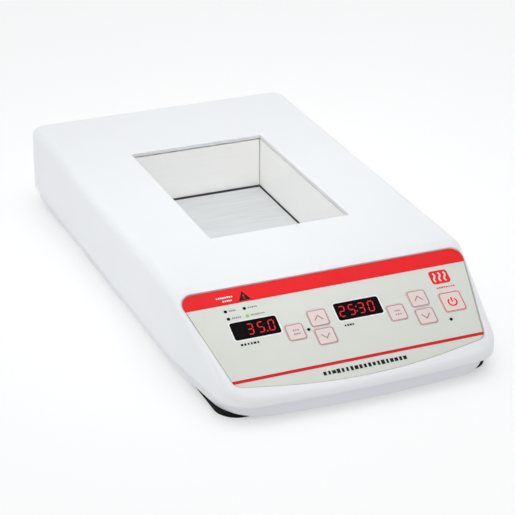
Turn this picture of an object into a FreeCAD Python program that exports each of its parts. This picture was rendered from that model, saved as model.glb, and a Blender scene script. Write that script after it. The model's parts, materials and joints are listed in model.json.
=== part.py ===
"""Two-block dry block heater, millimetres.

Frame: +X right, +Y back, +Z up, origin on the table under the middle of the case.
The control panel slopes down towards -Y. The well is open at the top.
"""
import FreeCAD
import Part
import math
import os
from FreeCAD import Vector

# ---------------------------------------------------------------- driving dimensions
CASE_HALF_WIDTH = 103.0        # side walls
CASE_BACK = 190.0              # outer face of the back wall
CASE_FRONT_CORNER = (94.0, -185.5)   # where the tapering side meets the bowed front
CASE_BOW = -192.5              # meeting point of the two front lines, before rounding
TAPER_START = -108.0           # the sides start to close in here
TOP_Z = 60.0
CASE_LOWER_EDGE = 13.0
WALL = 2.5
TOP_EDGE_RADIUS = 6.0
BREAK_RADIUS = 14.0            # soft bend between the flat top and the slope
BACK_CORNER = 10.0             # plan radii of the back corners, the start of the taper and the front corners
TAPER_RADIUS = 120.0
FRONT_CORNER = 22.0
BOW_RADIUS = 900.0             # bowed front of the case

SLOPE = 28.5                   # degrees below level
PANEL_BREAK = -106.0           # Y where the overlay plane meets the top plane
RIM_HEIGHT = 1.0               # the case stands this much above the overlay
FILM = 0.4                     # overlay thickness
PANEL_WALL = 3.1               # case thickness under the overlay

WELL_X = 102.0
WELL_Y = 153.5
WELL_FRONT = -46.0
WELL_FLOOR = 19.0
LINER = 1.0
LINER_FLANGE = 11.0            # reach of the liner's outward flange
LINER_RIM_GAP = 0.7            # slot between the liner's upper edge and the roof
LINER_BOSS = 5.0               # bosses under the roof that the flange hangs from
LINER_SCREW_OUT = 7.0
LINER_SCREW_IN = 12.0
SEAM = 0.5                     # open seam of the folded liner
WRAP = 4.0                     # insulation round the liner
PLATE_THICK = 5.0
PLATE_GAPS = (1.2, 0.9, 2.4)   # room between the plate and the liner: sides, front, back
PLATE_POSTS = (45.5, 70.5)     # ceramic posts under the plate, from the middle of the well
MAT = (82.0, 134.0, 1.5)       # heater mat under the plate
PROBE_X = -20.0
PROBE_RADIUS = 1.5
PROBE_DEPTH = 2.5              # probe axis below the well floor
PROBE_REACH = (44.0, 56.0)     # length inside the plate, whole length
CUTOUT_PLACE = (45.0, 32.0)    # x and z of the over-temperature switch behind the well

TRAY_BOTTOM = 3.2
TRAY_FLOOR = 2.0
TRAY_INSET = 3.0
TRAY_CORNER = 32.0
TRAY_BOW = 690.0               # radius of the tray's bowed front
TRAY_SKIRT = 0.9               # the tray's side wall stands in from its shelf by this much
TRAY_WALL = 2.3
SHELF = 2.4                    # the case rests on this shelf
SIDE_SCREWS = ((92.0, 130.0), (92.0, 20.0), (92.0, -112.0))
SIDE_BOSS = 3.6
SCREW_WELL = 3.0               # depth of the pockets for screw heads under the tray
VENT = (2.6, 34.0, 9.0)        # width, length and pitch of the vent slots
VENT_ROWS = (-85.0, 145.0)
VENT_STEPS = 3                 # slots each side of the middle one

# screws: shank radius, head radius, head height
SIDE_SCREW = (1.4, 2.8, 1.8)
FOOT_SCREW = (1.5, 2.8, 1.2)
BOARD_SCREW = (1.2, 2.3, 1.4)
SMALL_SCREW = (1.0, 2.2, 1.4)
SCREW_SLOT = 0.9
THREAD_GAP = 0.05              # pilot holes are wider than the shank by this much all round

KEY_SIZE = 12.4
KEY_PROUD = 0.3
KEY_GAP = 0.25
KEY_CORNER = 2.0
EAR = 1.5                      # the ears under the case reach this far out each side
EAR_TOP = -3.55                # heights below are measured from the overlay plane
EAR_THICK = 1.0
STEM_END = -6.5
STEM_RADIUS = 2.6
DOME = 0.9
DOME_RADIUS = 4.0
BOARD_TOP = -8.0
BOARD = 1.6
BOARD_SIZE = (160.0, 58.0)
BOARD_DOWN = 43.0
BOARD_SCREWS = (76.0, 18.0, 68.0)    # half spacing across, upper and lower rows down the slope
WINDOW_BASE = -3.0
WINDOW_TOP = -0.05

# key name: (distance right of centre, distance down the slope, width, height)
KEYS = {
    "temp_on_off_key": (-34.4, 47.6, KEY_SIZE, KEY_SIZE),
    "temp_up_key": (-16.1, 40.4, 13.2, 12.6),
    "temp_down_key": (-16.1, 54.5, 13.2, 12.6),
    "time_on_off_key": (36.6, 47.6, KEY_SIZE, KEY_SIZE),
    "time_up_key": (54.8, 40.3, 13.2, 12.6),
    "time_down_key": (54.8, 54.3, 13.2, 12.6),
    "standby_key": (76.8, 47.4, 15.6, 15.2),
}
DISPLAYS = {"temp": -58.6, "time": 12.6}
DISPLAY_DOWN = 39.2
DISPLAY_SIZE = (31.4, 13.2)
DISPLAY_CORNER = 1.6
DARK_LEDS = ((-73.2, 23.5), (-60.4, 23.5), (-73.2, 29.2), (-25.3, 47.6), (70.3, 60.3))
READY_LED = (-60.4, 29.2)
LED_RADIUS = 1.1
OVERLAY_TOP = 7.0
OVERLAY_CORNERS = ((100.8, OVERLAY_TOP, 8.0), (86.6, 79.0, 7.0))
OVERLAY_BOW = (92.9, 380.0)    # where the two lower lines would meet, and the radius that rounds them

FOOT_EDGE = (94.0, -174.0)     # outer edges of the front feet
FOOT_SIZE = (26.0, 52.0)
FOOT_RADIUS = 15.0
FOOT_INNER = 4.0
BACK_FOOT_EDGE = 182.0

INLET_X = 62.0
INLET_Z = 36.0
SOCKET = (24.0, 16.5, 15.0)    # clear width, height and depth
SOCKET_CHAMFER = 4.0
SOCKET_Z = INLET_Z - 4.6
PIN = (1.0, 2.0, 36.0, 1.5)    # half width, half height, reach back from the face, set-back of the tip
PIN_SPREAD = 7.0
INLET_BODY = (27.4, 30.6, 30.0)
INLET_FLANGE = (50.0, 33.0, 1.8)
INLET_SCREW_X = (INLET_X - 20.0, INLET_X + 20.0)
INLET_SCREW_RADIUS = 1.45
INLET_BACK = CASE_BACK - 0.4   # the flange sits in a shallow recess
DRAWER = (22.0, 7.4, 24.0)     # width, height, length
DRAWER_Z = INLET_Z + 10.6
FUSE = (2.6, 19.6)             # radius, length
FUSE_X = (INLET_X - 5.5, INLET_X + 5.5)

POWER_BOARD = (-66.0, 118.0, 34.0, 180.0)    # x0, y0, x1, y1
POWER_BOARD_Z = 11.0
POWER_POST = (5.0, 3.0)        # posts: distance in from the board's edges, radius
CORE = (-56.0, 126.0, 2.0, -18.0, 158.0, 32.0)    # box corners, heights above the power board
COIL = (-50.0, 121.0, 0.0, -24.0, 163.0, 25.0)
RELAY = (-7.5, 134.0, 16.0, 22.0, 16.0)      # centre, width, depth, height
HEATSINK = (8.0, 149.0, 20.0, 13.0, 28.0)    # left front corner, width, depth, height
SINK_PLATE = 2.5
SINK_FIN = 1.2
FIN_PITCH = 4
TRIAC = (10.0, 4.6, 15.0)      # width, thickness, height; stands against the heat sink
TRIAC_LIFT = 6.0
LEG_PITCH = 2.5
CAPACITOR = (5.0, 15.0)        # radius, height
CAPACITORS = ((-5.0, 168.0), (7.0, 170.0))
TERMINAL_Y = 125.0
TERMINALS = (4.5, 10.5, 16.5, 22.5)
TERMINAL = (10.0, 11.0, 2.0)   # depth and height of the block, radius of its entries
SLACK = 0.3                    # ordinary clearance between loose neighbours
FAR = 100.0                    # cutters run this far past what they cut

WELL_BACK = WELL_FRONT + WELL_Y
WELL_MID = (WELL_FRONT + WELL_BACK) / 2
PLATE_UNDER = WELL_FLOOR - PLATE_THICK
PROBE_Z = WELL_FLOOR - PROBE_DEPTH
LINER_TOP = TOP_Z - WALL - LINER_BOSS - 0.1  # upper face of the liner's flange
PANEL_UNDER = -(FILM + PANEL_WALL)
TRAY_INSIDE = TRAY_BOTTOM + TRAY_FLOOR
SHELF_TOP = CASE_LOWER_EDGE + SHELF
BOARD_SURFACE = POWER_BOARD_Z + BOARD
THETA = math.radians(SLOPE)
BACKWARD = (0, 1, 0)


# ---------------------------------------------------------------- helpers
def save(name, *solids):
    """Write one node, as a single solid or as a group of separate ones."""
    shape = solids[0] if len(solids) == 1 else Part.makeCompound(list(solids))
    shape.exportStep(f"parts/{name}.step")


def box(x0, y0, z0, x1, y1, z1):
    return Part.makeBox(x1 - x0, y1 - y0, z1 - z0, Vector(x0, y0, z0))


def rod(x, y, z, radius, length, axis=(0, 0, 1)):
    return Part.makeCylinder(radius, length, Vector(x, y, z), Vector(*axis))


def outline(corners, z=0.0):
    """Closed wire through (x, y, radius) corners, each rounded by a tangent arc."""
    edges = []
    starts = []
    for i, (x, y, radius) in enumerate(corners):
        here = Vector(x, y, z)
        back = Vector(*corners[i - 1][:2], z) - here
        ahead = Vector(*corners[(i + 1) % len(corners)][:2], z) - here
        half = back.getAngle(ahead) / 2
        back.normalize()
        ahead.normalize()
        reach = radius / math.tan(half)
        middle = (back + ahead).normalize()
        crown = here + middle * (radius / math.sin(half) - radius)
        starts.append((here + back * reach, crown, here + ahead * reach))
    for i, (enter, crown, leave) in enumerate(starts):
        edges.append(Part.Arc(enter, crown, leave).toShape())
        edges.append(Part.LineSegment(leave, starts[(i + 1) % len(starts)][0]).toShape())
    return Part.Wire(edges)


def prism(corners, z0, z1):
    return Part.Face(outline(corners, z0)).extrude(Vector(0, 0, z1 - z0))


def mirrored(half):
    """Add the left-hand copies of right-hand (x, y, radius) corners, keeping the order."""
    left = [(-x, y, r) for x, y, r in reversed(half) if x]
    return list(half) + left


def pad(cx, cy, width, height, radius, z0, z1):
    """Rounded rectangular plate centred on (cx, cy)."""
    w, h = width / 2, height / 2
    ends = [(cx + w, cy + h), (cx + w, cy - h), (cx - w, cy - h), (cx - w, cy + h)]
    return prism([(x, y, radius) for x, y in ends], z0, z1)


def on_panel(shape):
    """Turn a shape drawn flat (x right, -y down the slope, z out of the panel) onto the slope."""
    turned = shape.copy()
    turned.rotate(Vector(0, 0, 0), Vector(1, 0, 0), SLOPE)
    turned.translate(Vector(0, PANEL_BREAK, TOP_Z))
    return turned


def sloped_space(height):
    """Everything above the plane that lies `height` above the overlay."""
    reach = 300.0
    return on_panel(box(-reach, -reach, height, reach, reach / 2, height + reach))


def wire(points, radius, bend):
    """Round lead along straight runs joined by tangent arcs of radius `bend`."""
    points = [Vector(*p) for p in points]
    edges = []
    last = points[0]
    for before, here, after in zip(points, points[1:], points[2:]):
        back = (before - here).normalize()
        ahead = (after - here).normalize()
        half = back.getAngle(ahead) / 2
        reach = bend / math.tan(half)
        crown = here + (back + ahead).normalize() * (bend / math.sin(half) - bend)
        enter = here + back * reach
        edges.append(Part.LineSegment(last, enter).toShape())
        last = here + ahead * reach
        edges.append(Part.Arc(enter, crown, last).toShape())
    edges.append(Part.LineSegment(last, points[-1]).toShape())
    start = points[1] - points[0]
    ring = Part.Wire([Part.Circle(points[0], start, radius).toShape()])
    return Part.Wire(edges).makePipeShell([ring], True, False)


def screw(x, y, z, length, sizes, axis=(0, 0, 1)):
    """Pan-head screw; `z` is the bearing face of its head and the shank runs along axis."""
    radius, head, head_height = sizes
    direction = Vector(*axis)
    shank = rod(x, y, z, radius, length, axis)
    foot = Vector(x, y, z) - direction * head_height
    cap = Part.makeCylinder(head, head_height, foot, direction)
    slot = rod(foot.x, foot.y, foot.z, SCREW_SLOT, head_height * 0.6, axis)
    return shank.fuse(cap).cut(slot).removeSplitter()


def both_sides(places):
    return [(side * x, y) for x, y in places for side in (-1, 1)]


# ---------------------------------------------------------------- casework
def case_corners(inset, front_radius, bow_radius=BOW_RADIUS):
    corner_x, corner_y = CASE_FRONT_CORNER
    half = [
        (CASE_HALF_WIDTH - inset, CASE_BACK - inset, BACK_CORNER - inset),
        (CASE_HALF_WIDTH - inset, TAPER_START, TAPER_RADIUS),
        (corner_x - inset, corner_y + inset, front_radius),
        (0.0, CASE_BOW + inset, bow_radius),
    ]
    return mirrored(half)


def key_openings(margin, z0, z1):
    cuts = []
    for x, down, width, height in KEYS.values():
        cuts.append(pad(x, -down, width + 2 * margin, height + 2 * margin, KEY_CORNER + margin, z0, z1))
    return cuts


def display_openings(margin, z0, z1):
    width, height = DISPLAY_SIZE
    corner = DISPLAY_CORNER + margin
    return [pad(x, -DISPLAY_DOWN, width + 2 * margin, height + 2 * margin, corner, z0, z1)
            for x in DISPLAYS.values()]


def led_openings(margin, z0, z1):
    return [rod(x, -down, z0, LED_RADIUS + margin, z1 - z0) for x, down in DARK_LEDS + (READY_LED,)]


def overlay_corners(grow=0.0):
    (x0, d0, r0), (x1, d1, r1) = OVERLAY_CORNERS
    bow, bow_radius = OVERLAY_BOW
    half = [
        (x0 + grow, -(d0 - grow), r0),
        (x1 + grow, -(d1 + grow), r1),
        (0.0, -(bow + grow), bow_radius),
    ]
    return mirrored(half)


def side_profile(top, height):
    """Everything under the level top and under the slope, with the soft bend between them.

    `height` is how far the sloping side lies above the overlay plane.
    """
    drop = math.tan(THETA)
    crease = PANEL_BREAK - (height / math.cos(THETA) + TOP_Z - top) / drop
    reach = CASE_HALF_WIDTH + 10.0
    front, back, low = -260.0, CASE_BACK + 40.0, -80.0
    corners = [
        (back, low, 1.0),
        (back, top, 1.0),
        (crease, top, BREAK_RADIUS),
        (front, top - (crease - front) * drop, 1.0),
        (front - 20.0, low, 1.0),
    ]
    slab = prism(corners, -reach, reach)
    slab.rotate(Vector(0, 0, 0), Vector(1, 1, 1), 120)
    return slab


def is_upright(edge):
    run = edge.valueAt(edge.LastParameter) - edge.valueAt(edge.FirstParameter)
    return abs(run.z) > 0.99 * edge.Length


def is_outer(edge):
    """False for the creases that cross the case from side to side."""
    ends = [edge.valueAt(edge.FirstParameter), edge.valueAt(edge.LastParameter)]
    crossing = ends[0].x * ends[1].x < 0 and abs(ends[0].y - ends[1].y) < 0.01
    return not crossing or abs(ends[0].y) > CASE_BACK - 2 * BACK_CORNER


def case_block():
    """Outer form: bowed plan, level top, sloping face, rounded edges, lower edge trimmed flat."""
    floor = CASE_LOWER_EDGE - 20.0
    block = prism(case_corners(0.0, FRONT_CORNER), floor, TOP_Z + 1.0)
    block = block.common(side_profile(TOP_Z, RIM_HEIGHT))
    upper = [e for e in block.Edges if not is_upright(e) and is_outer(e) and e.BoundBox.ZMax > floor + 1.0]
    block = block.makeFillet(TOP_EDGE_RADIUS, upper)
    side, end = 2 * CASE_HALF_WIDTH, 2 * CASE_BACK
    return block.cut(box(-side, -end, floor - 1.0, side, end, CASE_LOWER_EDGE))


def case_hollow():
    """Inside of the case, with room for the thicker wall under the panel."""
    hollow = prism(case_corners(WALL, FRONT_CORNER - 2.0), CASE_LOWER_EDGE - 5.0, TOP_Z)
    return hollow.common(side_profile(TOP_Z - WALL, PANEL_UNDER))


def side_boss(x, y):
    """Screw post from above the tray's own post up to the roof, tied to the nearest wall."""
    post = rod(x, y, CASE_LOWER_EDGE + 3.0, SIDE_BOSS, TOP_Z)
    out = math.copysign(CASE_HALF_WIDTH, x)
    half_rib = 0.9
    rib = box(min(x, out), y - half_rib, CASE_LOWER_EDGE + 6.0, max(x, out), y + half_rib, TOP_Z)
    return post.fuse(rib).common(case_block())


def liner_screw_places():
    x = WELL_X / 2 + LINER_SCREW_OUT
    return both_sides([(x, WELL_FRONT + LINER_SCREW_IN), (x, WELL_BACK - LINER_SCREW_IN)])


def inlet_cutout():
    """Hole for the inlet's body, shallow seat for its flange, two screw holes."""
    width, height, _ = INLET_BODY
    wide, high, thick = INLET_FLANGE
    margin = SLACK - 0.1
    hole = box(INLET_X - width / 2 - SLACK, CASE_BACK - 10, INLET_Z - height / 2 - SLACK,
               INLET_X + width / 2 + SLACK, CASE_BACK + 5, INLET_Z + height / 2 + SLACK)
    seat = box(INLET_X - wide / 2 - margin, INLET_BACK - thick, INLET_Z - high / 2 - margin,
               INLET_X + wide / 2 + margin, CASE_BACK + 5, INLET_Z + high / 2 + margin)
    holes = [rod(x, CASE_BACK - 10, INLET_Z, 1.6, 20, BACKWARD) for x in INLET_SCREW_X]
    return hole.fuse([seat] + holes)


def top_housing():
    case = case_block().cut(case_hollow())
    for x, y in both_sides(SIDE_SCREWS):
        case = case.fuse(side_boss(x, y))
    for x, y in liner_screw_places():
        case = case.fuse(rod(x, y, TOP_Z - WALL - LINER_BOSS, 3.2, LINER_BOSS + 1.0))
    case = case.cut(box(-WELL_X / 2, WELL_FRONT, 0, WELL_X / 2, WELL_BACK, FAR))
    case = case.cut(on_panel(prism(overlay_corners(SLACK), -FILM, RIM_HEIGHT + 5.0)))
    through, above = PANEL_UNDER - 2.0, 3.0
    cuts = key_openings(KEY_GAP, through, above)
    cuts += display_openings(SLACK, through, above)
    cuts += led_openings(SLACK, through, above)
    for cut in cuts:
        case = case.cut(on_panel(cut))
    for x, y in both_sides(SIDE_SCREWS):
        case = case.cut(rod(x, y, CASE_LOWER_EDGE, SIDE_SCREW[0] + THREAD_GAP, 14.0))
    for x, y in liner_screw_places():
        case = case.cut(rod(x, y, TOP_Z - WALL - 6.0, SMALL_SCREW[0] + THREAD_GAP, 6.0))
    case = case.cut(inlet_cutout())
    return case.removeSplitter()


def tray_corners(inset):
    return case_corners(TRAY_INSET + inset, TRAY_CORNER, TRAY_BOW)


def power_posts():
    """Screw posts for the power board, moulded into the tray floor."""
    x0, y0, x1, y1 = POWER_BOARD
    edge = POWER_POST[0]
    return [(x, y) for x in (x0 + edge, x1 - edge) for y in (y0 + edge, y1 - edge)]


def foot_places():
    x, front = FOOT_EDGE
    width, length = FOOT_SIZE
    cx = x - width / 2
    return both_sides([(cx, front + length / 2), (cx, BACK_FOOT_EDGE - length / 2)])


def base_tray():
    """Floor pan: the case drops over its upstanding lip and rests on its shelf."""
    pan = prism(tray_corners(TRAY_SKIRT), TRAY_BOTTOM, CASE_LOWER_EDGE)
    shelf = prism(case_corners(TRAY_INSET, FRONT_CORNER - TRAY_INSET), CASE_LOWER_EDGE - 0.1, SHELF_TOP)
    pan = pan.fuse(shelf.cut(sloped_space(PANEL_UNDER - SLACK)))
    pan = pan.cut(prism(tray_corners(TRAY_SKIRT + TRAY_WALL), TRAY_INSIDE, FAR))
    for x, y in both_sides(SIDE_SCREWS):
        pan = pan.fuse(rod(x, y, TRAY_BOTTOM, 5.0, SHELF_TOP - TRAY_BOTTOM))
    for x, y in both_sides(SIDE_SCREWS):
        pan = pan.cut(rod(x, y, 0, SIDE_SCREW[0] + 0.2, FAR))
        pan = pan.cut(rod(x, y, 0, SIDE_SCREW[1] + SLACK, TRAY_BOTTOM + SCREW_WELL))
    for x, y in power_posts():
        pan = pan.fuse(rod(x, y, TRAY_INSIDE - 0.5, POWER_POST[1], POWER_BOARD_Z - TRAY_INSIDE + 0.5))
        pan = pan.cut(rod(x, y, TRAY_BOTTOM - 1, SMALL_SCREW[0] + 0.1, FAR))
    for x, y in foot_places():
        pan = pan.cut(rod(x, y, 0, FOOT_SCREW[0] + 0.1, FAR))
    width, length, pitch = VENT
    for i in range(-VENT_STEPS, VENT_STEPS + 1):
        for y in VENT_ROWS:
            slot = pad(i * pitch, y, width, length, width / 2 - 0.01, TRAY_BOTTOM - 1, TRAY_INSIDE + 1)
            pan = pan.cut(slot)
    return pan.removeSplitter()


def rubber_feet():
    width, length = FOOT_SIZE
    w, h = width / 2, length / 2
    feet = []
    for x, y in foot_places():
        out = math.copysign(1, x)
        end = math.copysign(1, y)
        corners = [(x + out * w, y + end * h, FOOT_RADIUS), (x + out * w, y - end * h, FOOT_INNER),
                   (x - out * w, y - end * h, FOOT_INNER), (x - out * w, y + end * h, FOOT_INNER)]
        foot = prism(corners, 0.0, TRAY_BOTTOM)
        foot = foot.cut(rod(x, y, -1, FOOT_SCREW[1] + SLACK, 3.0))
        foot = foot.cut(rod(x, y, -1, FOOT_SCREW[0] + 0.1, 10.0))
        feet.append(foot)
    return feet


def foot_screws():
    return [screw(x, y, 2.0, 3.6, FOOT_SCREW) for x, y in foot_places()]


def base_screws():
    return [screw(x, y, TRAY_BOTTOM + SCREW_WELL, 18.0, SIDE_SCREW) for x, y in both_sides(SIDE_SCREWS)]


# ---------------------------------------------------------------- control panel
def control_overlay():
    film = prism(overlay_corners(), -FILM, 0.0)
    fit = SLACK / 3
    cuts = key_openings(KEY_GAP, -1.0, 1.0) + display_openings(fit, -1.0, 1.0)
    cuts += led_openings(fit, -1.0, 1.0)
    for cut in cuts:
        film = film.cut(cut)
    return on_panel(film.removeSplitter())


def key(x, down, width, height):
    """Key cap with side ears that catch under the case, and a stem over its dome."""
    cap = pad(x, -down, width, height, KEY_CORNER, EAR_TOP, KEY_PROUD)
    top_ring = [e for e in cap.Edges if e.BoundBox.ZMin > KEY_PROUD - 0.01]
    cap = cap.makeFillet(0.25, top_ring)
    ears = pad(x, -down, width + 2 * EAR, height - 1.0, 1.0, EAR_TOP - EAR_THICK, EAR_TOP)
    stem = rod(x, -down, STEM_END, STEM_RADIUS, EAR_TOP - EAR_THICK - STEM_END)
    return on_panel(cap.fuse([ears, stem]).removeSplitter())


def key_domes():
    """Snap domes: low caps of a sphere, one on the board under each key."""
    radius = (DOME_RADIUS ** 2 + DOME ** 2) / (2 * DOME)
    reach = DOME_RADIUS + 2.0
    domes = []
    for x, down, _, _ in KEYS.values():
        ball = Part.makeSphere(radius, Vector(x, -down, BOARD_TOP + DOME - radius))
        above_board = box(x - reach, -down - reach, BOARD_TOP, x + reach, -down + reach, 0)
        domes.append(on_panel(ball.common(above_board)))
    return domes


def display_window(kind):
    width, height = DISPLAY_SIZE
    x = DISPLAYS[kind]
    return on_panel(pad(x, -DISPLAY_DOWN, width, height, DISPLAY_CORNER, WINDOW_BASE, WINDOW_TOP))


def display_module(kind):
    w, h = DISPLAY_SIZE[0] / 2 - 0.5, DISPLAY_SIZE[1] / 2 - 0.4
    x, y = DISPLAYS[kind], -DISPLAY_DOWN
    return on_panel(box(x - w, y - h, BOARD_TOP, x + w, y + h, WINDOW_BASE - 0.1))


def led(x, down):
    stem = rod(x, -down, BOARD_TOP, LED_RADIUS, WINDOW_TOP - BOARD_TOP)
    collar = rod(x, -down, BOARD_TOP, LED_RADIUS + 0.4, 2.5)
    return on_panel(stem.fuse(collar).removeSplitter())


def board_screw_places():
    across, upper, lower = BOARD_SCREWS
    return both_sides([(across, -upper), (across, -lower)])


def control_board():
    width, height = BOARD_SIZE
    board = pad(0, -BOARD_DOWN, width, height, 3.0, BOARD_TOP - BOARD, BOARD_TOP)
    for x, y in board_screw_places():
        board = board.cut(rod(x, y, BOARD_TOP - 5, BOARD_SCREW[0] + 0.1, 10))
    return on_panel(board)


def board_spacers():
    spacers = []
    for x, y in board_screw_places():
        tube = rod(x, y, BOARD_TOP, 2.4, PANEL_UNDER - BOARD_TOP)
        spacers.append(on_panel(tube.cut(rod(x, y, BOARD_TOP - 1, BOARD_SCREW[0] + 0.1, 12))))
    return spacers


def board_screws():
    length = BOARD + 4.2
    return [on_panel(screw(x, y, BOARD_TOP - BOARD, length, BOARD_SCREW)) for x, y in board_screw_places()]


# ---------------------------------------------------------------- well and heater
def well_liner():
    """Folded sheet sleeve with an outward flange; its open seam is at the back right corner."""
    hx = WELL_X / 2
    front, back = WELL_FRONT - LINER, WELL_BACK + LINER
    outer = box(-hx - LINER, front, PLATE_UNDER, hx + LINER, back, TOP_Z - WALL - LINER_RIM_GAP)
    flange = box(-hx - LINER_FLANGE, front, LINER_TOP - LINER, hx + LINER_FLANGE, back, LINER_TOP)
    sleeve = outer.fuse(flange)
    sleeve = sleeve.cut(box(-hx, WELL_FRONT, 0, hx, WELL_BACK, FAR))
    sleeve = sleeve.cut(box(hx - 0.1 - SEAM, WELL_BACK - 0.1, 0, hx - 0.1, back + 5, FAR))
    for x, y in liner_screw_places():
        sleeve = sleeve.cut(rod(x, y, 0, SMALL_SCREW[0] + SLACK, FAR))
    sleeve = sleeve.cut(rod(PROBE_X, WELL_BACK - 5, PROBE_Z, PROBE_RADIUS + 0.4, 10, BACKWARD))
    return sleeve.removeSplitter()


def liner_screws():
    return [screw(x, y, LINER_TOP - LINER, 4.6, SMALL_SCREW) for x, y in liner_screw_places()]


def plate_post_places():
    x, y = PLATE_POSTS
    return both_sides([(x, WELL_MID - y), (x, WELL_MID + y)])


def heater_plate():
    side, front, back = PLATE_GAPS
    hx = WELL_X / 2 - side
    plate = box(-hx, WELL_FRONT + front, PLATE_UNDER, hx, WELL_BACK - back, WELL_FLOOR)
    bore = PROBE_REACH[0] + 1.0
    plate = plate.cut(rod(PROBE_X, WELL_BACK - bore, PROBE_Z, PROBE_RADIUS + 0.05, FAR, BACKWARD))
    for x, y in plate_post_places():
        plate = plate.cut(rod(x, y, PLATE_UNDER - 1, 1.2, 4.0))
    return plate


def plate_standoffs():
    posts = []
    for x, y in plate_post_places():
        tube = rod(x, y, TRAY_INSIDE, 3.0, PLATE_UNDER - TRAY_INSIDE)
        posts.append(tube.cut(rod(x, y, 0, 1.2, FAR)))
    return posts


def heater_mat():
    width, length, thick = MAT
    return pad(0, WELL_MID, width, length, 4.0, PLATE_UNDER - thick, PLATE_UNDER)


def base_insulation():
    width, length, thick = MAT
    return pad(0, WELL_MID, width, length, 4.0, TRAY_INSIDE, PLATE_UNDER - thick)


def well_insulation():
    """Fibre sleeve wrapped round the liner, below its flange."""
    hx = WELL_X / 2 + LINER
    front, back = WELL_FRONT - LINER, WELL_BACK + LINER
    top = LINER_TOP - LINER - 2.4
    sleeve = box(-hx - WRAP, front - WRAP, PLATE_UNDER + 1.0, hx + WRAP, back + WRAP, top)
    sleeve = sleeve.cut(box(-hx, front, 0, hx, back, FAR))
    return sleeve.cut(rod(PROBE_X, WELL_BACK, PROBE_Z, PROBE_RADIUS + 0.7, 10, BACKWARD))


def temperature_probe():
    inside, length = PROBE_REACH
    return rod(PROBE_X, WELL_BACK - inside, PROBE_Z, PROBE_RADIUS, length, BACKWARD)


def thermal_cutout():
    """Disc thermostat on the sleeve behind the well, with two blade terminals."""
    y = WELL_BACK + LINER + WRAP
    x0, z0 = CUTOUT_PLACE
    disc_depth, cap_depth = 5.0, 3.0
    disc = rod(x0, y, z0, 8.0, disc_depth, BACKWARD)
    cap = rod(x0, y + disc_depth, z0, 6.0, cap_depth, BACKWARD)
    face = y + disc_depth + cap_depth
    blades = [box(x - 0.4, face, z0 - 3.0, x + 0.4, face + 6.0, z0 + 3.0) for x in (x0 - 3.5, x0 + 3.5)]
    return disc.fuse([cap] + blades).removeSplitter()


# ---------------------------------------------------------------- power section
def on_board(x0, y0, low, x1, y1, high):
    """Box whose heights are measured from the upper face of the power board."""
    return box(x0, y0, BOARD_SURFACE + low, x1, y1, BOARD_SURFACE + high)


def power_board():
    x0, y0, x1, y1 = POWER_BOARD
    board = box(x0, y0, POWER_BOARD_Z, x1, y1, BOARD_SURFACE)
    for x, y in power_posts():
        board = board.cut(rod(x, y, 0, SMALL_SCREW[0] + SLACK, FAR))
    return board


def power_board_screws():
    return [screw(x, y, BOARD_SURFACE, 5.5, SMALL_SCREW, (0, 0, -1)) for x, y in power_posts()]


def transformer():
    return on_board(*CORE).fuse(on_board(*COIL)).removeSplitter()


def relay():
    x, y, width, depth, height = RELAY
    return pad(x, y, width, depth, 1.0, BOARD_SURFACE, BOARD_SURFACE + height)


def triac_heatsink():
    x0, y0, width, depth, height = HEATSINK
    plate = on_board(x0, y0, 0, x0 + width, y0 + SINK_PLATE, height)
    starts = [x0 + FIN_PITCH * i for i in range(int(width / FIN_PITCH))]
    fins = [on_board(x, y0 + SINK_PLATE - 0.5, 0, x + SINK_FIN, y0 + depth, height) for x in starts]
    return plate.fuse(fins).removeSplitter()


def triac():
    """Power switch standing on three legs against the front of the heat sink."""
    x0, y0, sink_width, _, _ = HEATSINK
    width, thick, height = TRIAC
    middle = x0 + sink_width / 2
    left, right = middle - width / 2, middle + width / 2
    body = on_board(left, y0 - thick, TRIAC_LIFT, right, y0, TRIAC_LIFT + height)
    leg = 0.4
    y = y0 - thick / 2
    legs = [on_board(x - leg, y - leg, 0, x + leg, y + leg, TRIAC_LIFT + 0.5)
            for x in (middle - LEG_PITCH, middle, middle + LEG_PITCH)]
    return body.fuse(legs).removeSplitter()


def capacitors():
    return [rod(x, y, BOARD_SURFACE, *CAPACITOR) for x, y in CAPACITORS]


def terminal_block():
    depth, height, entry = TERMINAL
    end, half = 3.0, depth / 2
    left, right = TERMINALS[0] - end, TERMINALS[-1] + end
    block = on_board(left, TERMINAL_Y - half, 0, right, TERMINAL_Y + half, height)
    for x in TERMINALS:
        block = block.cut(rod(x, TERMINAL_Y, BOARD_SURFACE + 7, entry, FAR))
    return block


# ---------------------------------------------------------------- mains inlet
def pin_places():
    """Two line pins low down and the earth pin above them."""
    low = SOCKET_Z - 1.0
    return ((INLET_X - PIN_SPREAD, low), (INLET_X + PIN_SPREAD, low), (INLET_X, SOCKET_Z + 3.5))


def socket_space():
    """Connector-shaped hollow with its two upper corners cut off."""
    width, height, depth = SOCKET
    w, low, high, cut = width / 2, SOCKET_Z - height / 2, SOCKET_Z + height / 2, SOCKET_CHAMFER
    half = [(w - cut, high), (w, high - cut), (w, low)]
    ring = half + [(-x, z) for x, z in reversed(half)]
    space = prism([(INLET_X + x, z, 1.0) for x, z in ring], 0, depth + 5)
    space.rotate(Vector(0, 0, 0), Vector(1, 0, 0), 90)
    space.translate(Vector(0, INLET_BACK + 5, 0))
    return space


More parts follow.
